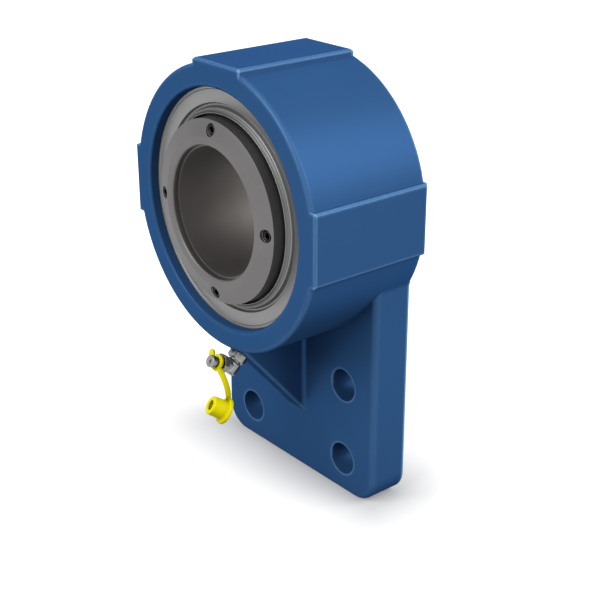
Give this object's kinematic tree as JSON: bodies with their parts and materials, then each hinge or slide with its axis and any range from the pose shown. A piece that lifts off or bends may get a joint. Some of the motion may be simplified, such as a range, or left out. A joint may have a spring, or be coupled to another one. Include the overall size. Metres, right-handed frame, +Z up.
{
  "type": "flanged roller bearing unit",
  "caption": "Self-aligning roller bearing in a round cast housing with a rectangular flange plate, stiffening rib, screw-tightened mounting collar and a capped grease nipple.",
  "frame": {"origin": "middle of the bearing, on the shaft's axis", "axes": "shaft along Y; front with the mounting collar at -Y; machined mounting face at +Y; +Z up, away from the flange plate"},
  "size_m": [0.1452, 0.0848, 0.2306],
  "materials": {
    "blue_paint": "smooth blue enamel over the casting",
    "bearing_steel": "ground",
    "spring_steel": "phosphated",
    "pressed_steel": "satin pressed sheet",
    "seal_rubber": "matte black",
    "guide_steel": "ground",
    "cage_steel": "pressed and hardened",
    "sleeve_steel": "turned, lightly oiled",
    "turned_steel": "turned, browned",
    "roller_steel": "polished",
    "black_steel": "black oxide",
    "plated_steel": "zinc plated",
    "yellow_plastic": "moulded polyethylene"
  },
  "bodies": {
    "housing_unit": {"housing": "blue_paint", "outer_ring": "bearing_steel", "front_retaining_ring": "spring_steel", "rear_retaining_ring": "spring_steel", "front_seal_disc": "pressed_steel", "rear_seal_disc": "pressed_steel", "front_seal_lip": "seal_rubber", "rear_seal_lip": "seal_rubber", "grease_adapter": "plated_steel", "grease_elbow": "plated_steel", "grease_nipple": "plated_steel", "nipple_spring": "spring_steel"},
    "guide": {"guide_ring": "guide_steel"},
    "rotor": {"inner_ring": "bearing_steel", "stepped_sleeve": "sleeve_steel", "thrust_ring": "turned_steel", "mounting_collar": "turned_steel", "grub_screws": "black_steel", "collar_retaining_ring": "spring_steel", "rear_seal_ring": "turned_steel", "rear_sleeve_ring": "spring_steel"},
    "front_cage": {"front_cage": "cage_steel"},
    "rear_cage": {"rear_cage": "cage_steel"},
    "cap": {"grease_cap": "yellow_plastic"},
    "check_ball": {"nipple_ball": "roller_steel"},
    "front_roller_1": {"front_roller_1": "roller_steel"},
    "front_roller_2": {"front_roller_2": "roller_steel"},
    "front_roller_3": {"front_roller_3": "roller_steel"},
    "front_roller_4": {"front_roller_4": "roller_steel"},
    "front_roller_5": {"front_roller_5": "roller_steel"},
    "front_roller_6": {"front_roller_6": "roller_steel"},
    "front_roller_7": {"front_roller_7": "roller_steel"},
    "front_roller_8": {"front_roller_8": "roller_steel"},
    "front_roller_9": {"front_roller_9": "roller_steel"},
    "front_roller_10": {"front_roller_10": "roller_steel"},
    "front_roller_11": {"front_roller_11": "roller_steel"},
    "front_roller_12": {"front_roller_12": "roller_steel"},
    "front_roller_13": {"front_roller_13": "roller_steel"},
    "front_roller_14": {"front_roller_14": "roller_steel"},
    "front_roller_15": {"front_roller_15": "roller_steel"},
    "front_roller_16": {"front_roller_16": "roller_steel"},
    "front_roller_17": {"front_roller_17": "roller_steel"},
    "rear_roller_1": {"rear_roller_1": "roller_steel"},
    "rear_roller_2": {"rear_roller_2": "roller_steel"},
    "rear_roller_3": {"rear_roller_3": "roller_steel"},
    "rear_roller_4": {"rear_roller_4": "roller_steel"},
    "rear_roller_5": {"rear_roller_5": "roller_steel"},
    "rear_roller_6": {"rear_roller_6": "roller_steel"},
    "rear_roller_7": {"rear_roller_7": "roller_steel"},
    "rear_roller_8": {"rear_roller_8": "roller_steel"},
    "rear_roller_9": {"rear_roller_9": "roller_steel"},
    "rear_roller_10": {"rear_roller_10": "roller_steel"},
    "rear_roller_11": {"rear_roller_11": "roller_steel"},
    "rear_roller_12": {"rear_roller_12": "roller_steel"},
    "rear_roller_13": {"rear_roller_13": "roller_steel"},
    "rear_roller_14": {"rear_roller_14": "roller_steel"},
    "rear_roller_15": {"rear_roller_15": "roller_steel"},
    "rear_roller_16": {"rear_roller_16": "roller_steel"},
    "rear_roller_17": {"rear_roller_17": "roller_steel"}
  },
  "joints": [
    {"name": "self_align", "type": "hinge", "parent": "housing_unit", "child": "guide", "pos_m": [0, 0, 0], "axis": [1, 0, 0], "range_deg": [-1.5, 1.5], "deforming": ["front_seal_lip", "rear_seal_lip"]},
    {"name": "shaft_spin", "type": "hinge", "parent": "guide", "child": "rotor", "pos_m": [0, 0, 0], "axis": [0, 1, 0], "continuous": true},
    {"name": "front_cage_spin", "type": "hinge", "parent": "guide", "child": "front_cage", "pos_m": [0, 0, 0], "axis": [0, 1, 0], "continuous": true},
    {"name": "rear_cage_spin", "type": "hinge", "parent": "guide", "child": "rear_cage", "pos_m": [0, 0, 0], "axis": [0, 1, 0], "continuous": true},
    {"name": "front_roller_1_spin", "type": "hinge", "parent": "front_cage", "child": "front_roller_1", "pos_m": [0.04307, -0.00815, -0.01668], "axis": [0.162, 0.9848, -0.0628], "continuous": true},
    {"name": "front_roller_2_spin", "type": "hinge", "parent": "front_cage", "child": "front_roller_2", "pos_m": [0.03413, -0.00815, -0.03112], "axis": [0.1284, 0.9848, -0.1171], "continuous": true},
    {"name": "front_roller_3_spin", "type": "hinge", "parent": "front_cage", "child": "front_roller_3", "pos_m": [0.02059, -0.00815, -0.04134], "axis": [0.0775, 0.9848, -0.1556], "continuous": true},
    {"name": "front_roller_4_spin", "type": "hinge", "parent": "front_cage", "child": "front_roller_4", "pos_m": [0.00426, -0.00815, -0.04599], "axis": [0.016, 0.9848, -0.173], "continuous": true},
    {"name": "front_roller_5_spin", "type": "hinge", "parent": "front_cage", "child": "front_roller_5", "pos_m": [-0.01264, -0.00815, -0.04442], "axis": [-0.0476, 0.9848, -0.1671], "continuous": true},
    {"name": "front_roller_6_spin", "type": "hinge", "parent": "front_cage", "child": "front_roller_6", "pos_m": [-0.02783, -0.00815, -0.03686], "axis": [-0.1047, 0.9848, -0.1387], "continuous": true},
    {"name": "front_roller_7_spin", "type": "hinge", "parent": "front_cage", "child": "front_roller_7", "pos_m": [-0.03927, -0.00815, -0.02431], "axis": [-0.1477, 0.9848, -0.0915], "continuous": true},
    {"name": "front_roller_8_spin", "type": "hinge", "parent": "front_cage", "child": "front_roller_8", "pos_m": [-0.0454, -0.00815, -0.00849], "axis": [-0.1708, 0.9848, -0.0319], "continuous": true},
    {"name": "front_roller_9_spin", "type": "hinge", "parent": "front_cage", "child": "front_roller_9", "pos_m": [-0.0454, -0.00815, 0.00849], "axis": [-0.1708, 0.9848, 0.0319], "continuous": true},
    {"name": "front_roller_10_spin", "type": "hinge", "parent": "front_cage", "child": "front_roller_10", "pos_m": [-0.03927, -0.00815, 0.02431], "axis": [-0.1477, 0.9848, 0.0915], "continuous": true},
    {"name": "front_roller_11_spin", "type": "hinge", "parent": "front_cage", "child": "front_roller_11", "pos_m": [-0.02783, -0.00815, 0.03686], "axis": [-0.1047, 0.9848, 0.1387], "continuous": true},
    {"name": "front_roller_12_spin", "type": "hinge", "parent": "front_cage", "child": "front_roller_12", "pos_m": [-0.01264, -0.00815, 0.04442], "axis": [-0.0476, 0.9848, 0.1671], "continuous": true},
    {"name": "front_roller_13_spin", "type": "hinge", "parent": "front_cage", "child": "front_roller_13", "pos_m": [0.00426, -0.00815, 0.04599], "axis": [0.016, 0.9848, 0.173], "continuous": true},
    {"name": "front_roller_14_spin", "type": "hinge", "parent": "front_cage", "child": "front_roller_14", "pos_m": [0.02059, -0.00815, 0.04134], "axis": [0.0775, 0.9848, 0.1556], "continuous": true},
    {"name": "front_roller_15_spin", "type": "hinge", "parent": "front_cage", "child": "front_roller_15", "pos_m": [0.03413, -0.00815, 0.03112], "axis": [0.1284, 0.9848, 0.1171], "continuous": true},
    {"name": "front_roller_16_spin", "type": "hinge", "parent": "front_cage", "child": "front_roller_16", "pos_m": [0.04307, -0.00815, 0.01668], "axis": [0.162, 0.9848, 0.0628], "continuous": true},
    {"name": "front_roller_17_spin", "type": "hinge", "parent": "front_cage", "child": "front_roller_17", "pos_m": [0.04619, -0.00815, 0], "axis": [0.1738, 0.9848, 0], "continuous": true},
    {"name": "rear_roller_1_spin", "type": "hinge", "parent": "rear_cage", "child": "rear_roller_1", "pos_m": [0.03927, 0.00815, -0.02431], "axis": [-0.1477, 0.9848, 0.0915], "continuous": true},
    {"name": "rear_roller_2_spin", "type": "hinge", "parent": "rear_cage", "child": "rear_roller_2", "pos_m": [0.02783, 0.00815, -0.03686], "axis": [-0.1047, 0.9848, 0.1387], "continuous": true},
    {"name": "rear_roller_3_spin", "type": "hinge", "parent": "rear_cage", "child": "rear_roller_3", "pos_m": [0.01264, 0.00815, -0.04442], "axis": [-0.0476, 0.9848, 0.1671], "continuous": true},
    {"name": "rear_roller_4_spin", "type": "hinge", "parent": "rear_cage", "child": "rear_roller_4", "pos_m": [-0.00426, 0.00815, -0.04599], "axis": [0.016, 0.9848, 0.173], "continuous": true},
    {"name": "rear_roller_5_spin", "type": "hinge", "parent": "rear_cage", "child": "rear_roller_5", "pos_m": [-0.02059, 0.00815, -0.04134], "axis": [0.0775, 0.9848, 0.1556], "continuous": true},
    {"name": "rear_roller_6_spin", "type": "hinge", "parent": "rear_cage", "child": "rear_roller_6", "pos_m": [-0.03413, 0.00815, -0.03112], "axis": [0.1284, 0.9848, 0.1171], "continuous": true},
    {"name": "rear_roller_7_spin", "type": "hinge", "parent": "rear_cage", "child": "rear_roller_7", "pos_m": [-0.04307, 0.00815, -0.01668], "axis": [0.162, 0.9848, 0.0628], "continuous": true},
    {"name": "rear_roller_8_spin", "type": "hinge", "parent": "rear_cage", "child": "rear_roller_8", "pos_m": [-0.04619, 0.00815, 0], "axis": [0.1738, 0.9848, 0], "continuous": true},
    {"name": "rear_roller_9_spin", "type": "hinge", "parent": "rear_cage", "child": "rear_roller_9", "pos_m": [-0.04307, 0.00815, 0.01668], "axis": [0.162, 0.9848, -0.0628], "continuous": true},
    {"name": "rear_roller_10_spin", "type": "hinge", "parent": "rear_cage", "child": "rear_roller_10", "pos_m": [-0.03413, 0.00815, 0.03112], "axis": [0.1284, 0.9848, -0.1171], "continuous": true},
    {"name": "rear_roller_11_spin", "type": "hinge", "parent": "rear_cage", "child": "rear_roller_11", "pos_m": [-0.02059, 0.00815, 0.04134], "axis": [0.0775, 0.9848, -0.1556], "continuous": true},
    {"name": "rear_roller_12_spin", "type": "hinge", "parent": "rear_cage", "child": "rear_roller_12", "pos_m": [-0.00426, 0.00815, 0.04599], "axis": [0.016, 0.9848, -0.173], "continuous": true},
    {"name": "rear_roller_13_spin", "type": "hinge", "parent": "rear_cage", "child": "rear_roller_13", "pos_m": [0.01264, 0.00815, 0.04442], "axis": [-0.0476, 0.9848, -0.1671], "continuous": true},
    {"name": "rear_roller_14_spin", "type": "hinge", "parent": "rear_cage", "child": "rear_roller_14", "pos_m": [0.02783, 0.00815, 0.03686], "axis": [-0.1047, 0.9848, -0.1387], "continuous": true},
    {"name": "rear_roller_15_spin", "type": "hinge", "parent": "rear_cage", "child": "rear_roller_15", "pos_m": [0.03927, 0.00815, 0.02431], "axis": [-0.1477, 0.9848, -0.0915], "continuous": true},
    {"name": "rear_roller_16_spin", "type": "hinge", "parent": "rear_cage", "child": "rear_roller_16", "pos_m": [0.0454, 0.00815, 0.00849], "axis": [-0.1708, 0.9848, -0.0319], "continuous": true},
    {"name": "rear_roller_17_spin", "type": "hinge", "parent": "rear_cage", "child": "rear_roller_17", "pos_m": [0.0454, 0.00815, -0.00849], "axis": [-0.1708, 0.9848, 0.0319], "continuous": true},
    {"name": "cap_swivel", "type": "hinge", "parent": "housing_unit", "child": "cap", "pos_m": [0, -0.03878, -0.08027], "axis": [0, -0.8924, 0.4513], "range_deg": [-60, 60]},
    {"name": "check_valve", "type": "slide", "parent": "housing_unit", "child": "check_ball", "axis": [0, 0.8924, -0.4513], "range_m": [0, 0.0008], "stiffness_N_per_m": 150, "springref_m": -0.001, "deforming": ["nipple_spring"]}
  ],
  "couplings": [
    {"joint": "front_cage_spin", "follows": "shaft_spin", "ratio": 0.4307},
    {"joint": "rear_cage_spin", "follows": "shaft_spin", "ratio": 0.4307},
    {"joint": "front_roller_1_spin", "follows": "shaft_spin", "ratio": -3.4846},
    {"joint": "front_roller_2_spin", "follows": "shaft_spin", "ratio": -3.4846},
    {"joint": "front_roller_3_spin", "follows": "shaft_spin", "ratio": -3.4846},
    {"joint": "front_roller_4_spin", "follows": "shaft_spin", "ratio": -3.4846},
    {"joint": "front_roller_5_spin", "follows": "shaft_spin", "ratio": -3.4846},
    {"joint": "front_roller_6_spin", "follows": "shaft_spin", "ratio": -3.4846},
    {"joint": "front_roller_7_spin", "follows": "shaft_spin", "ratio": -3.4846},
    {"joint": "front_roller_8_spin", "follows": "shaft_spin", "ratio": -3.4846},
    {"joint": "front_roller_9_spin", "follows": "shaft_spin", "ratio": -3.4846},
    {"joint": "front_roller_10_spin", "follows": "shaft_spin", "ratio": -3.4846},
    {"joint": "front_roller_11_spin", "follows": "shaft_spin", "ratio": -3.4846},
    {"joint": "front_roller_12_spin", "follows": "shaft_spin", "ratio": -3.4846},
    {"joint": "front_roller_13_spin", "follows": "shaft_spin", "ratio": -3.4846},
    {"joint": "front_roller_14_spin", "follows": "shaft_spin", "ratio": -3.4846},
    {"joint": "front_roller_15_spin", "follows": "shaft_spin", "ratio": -3.4846},
    {"joint": "front_roller_16_spin", "follows": "shaft_spin", "ratio": -3.4846},
    {"joint": "front_roller_17_spin", "follows": "shaft_spin", "ratio": -3.4846},
    {"joint": "rear_roller_1_spin", "follows": "shaft_spin", "ratio": -3.4846},
    {"joint": "rear_roller_2_spin", "follows": "shaft_spin", "ratio": -3.4846},
    {"joint": "rear_roller_3_spin", "follows": "shaft_spin", "ratio": -3.4846},
    {"joint": "rear_roller_4_spin", "follows": "shaft_spin", "ratio": -3.4846},
    {"joint": "rear_roller_5_spin", "follows": "shaft_spin", "ratio": -3.4846},
    {"joint": "rear_roller_6_spin", "follows": "shaft_spin", "ratio": -3.4846},
    {"joint": "rear_roller_7_spin", "follows": "shaft_spin", "ratio": -3.4846},
    {"joint": "rear_roller_8_spin", "follows": "shaft_spin", "ratio": -3.4846},
    {"joint": "rear_roller_9_spin", "follows": "shaft_spin", "ratio": -3.4846},
    {"joint": "rear_roller_10_spin", "follows": "shaft_spin", "ratio": -3.4846},
    {"joint": "rear_roller_11_spin", "follows": "shaft_spin", "ratio": -3.4846},
    {"joint": "rear_roller_12_spin", "follows": "shaft_spin", "ratio": -3.4846},
    {"joint": "rear_roller_13_spin", "follows": "shaft_spin", "ratio": -3.4846},
    {"joint": "rear_roller_14_spin", "follows": "shaft_spin", "ratio": -3.4846},
    {"joint": "rear_roller_15_spin", "follows": "shaft_spin", "ratio": -3.4846},
    {"joint": "rear_roller_16_spin", "follows": "shaft_spin", "ratio": -3.4846},
    {"joint": "rear_roller_17_spin", "follows": "shaft_spin", "ratio": -3.4846}
  ]
}
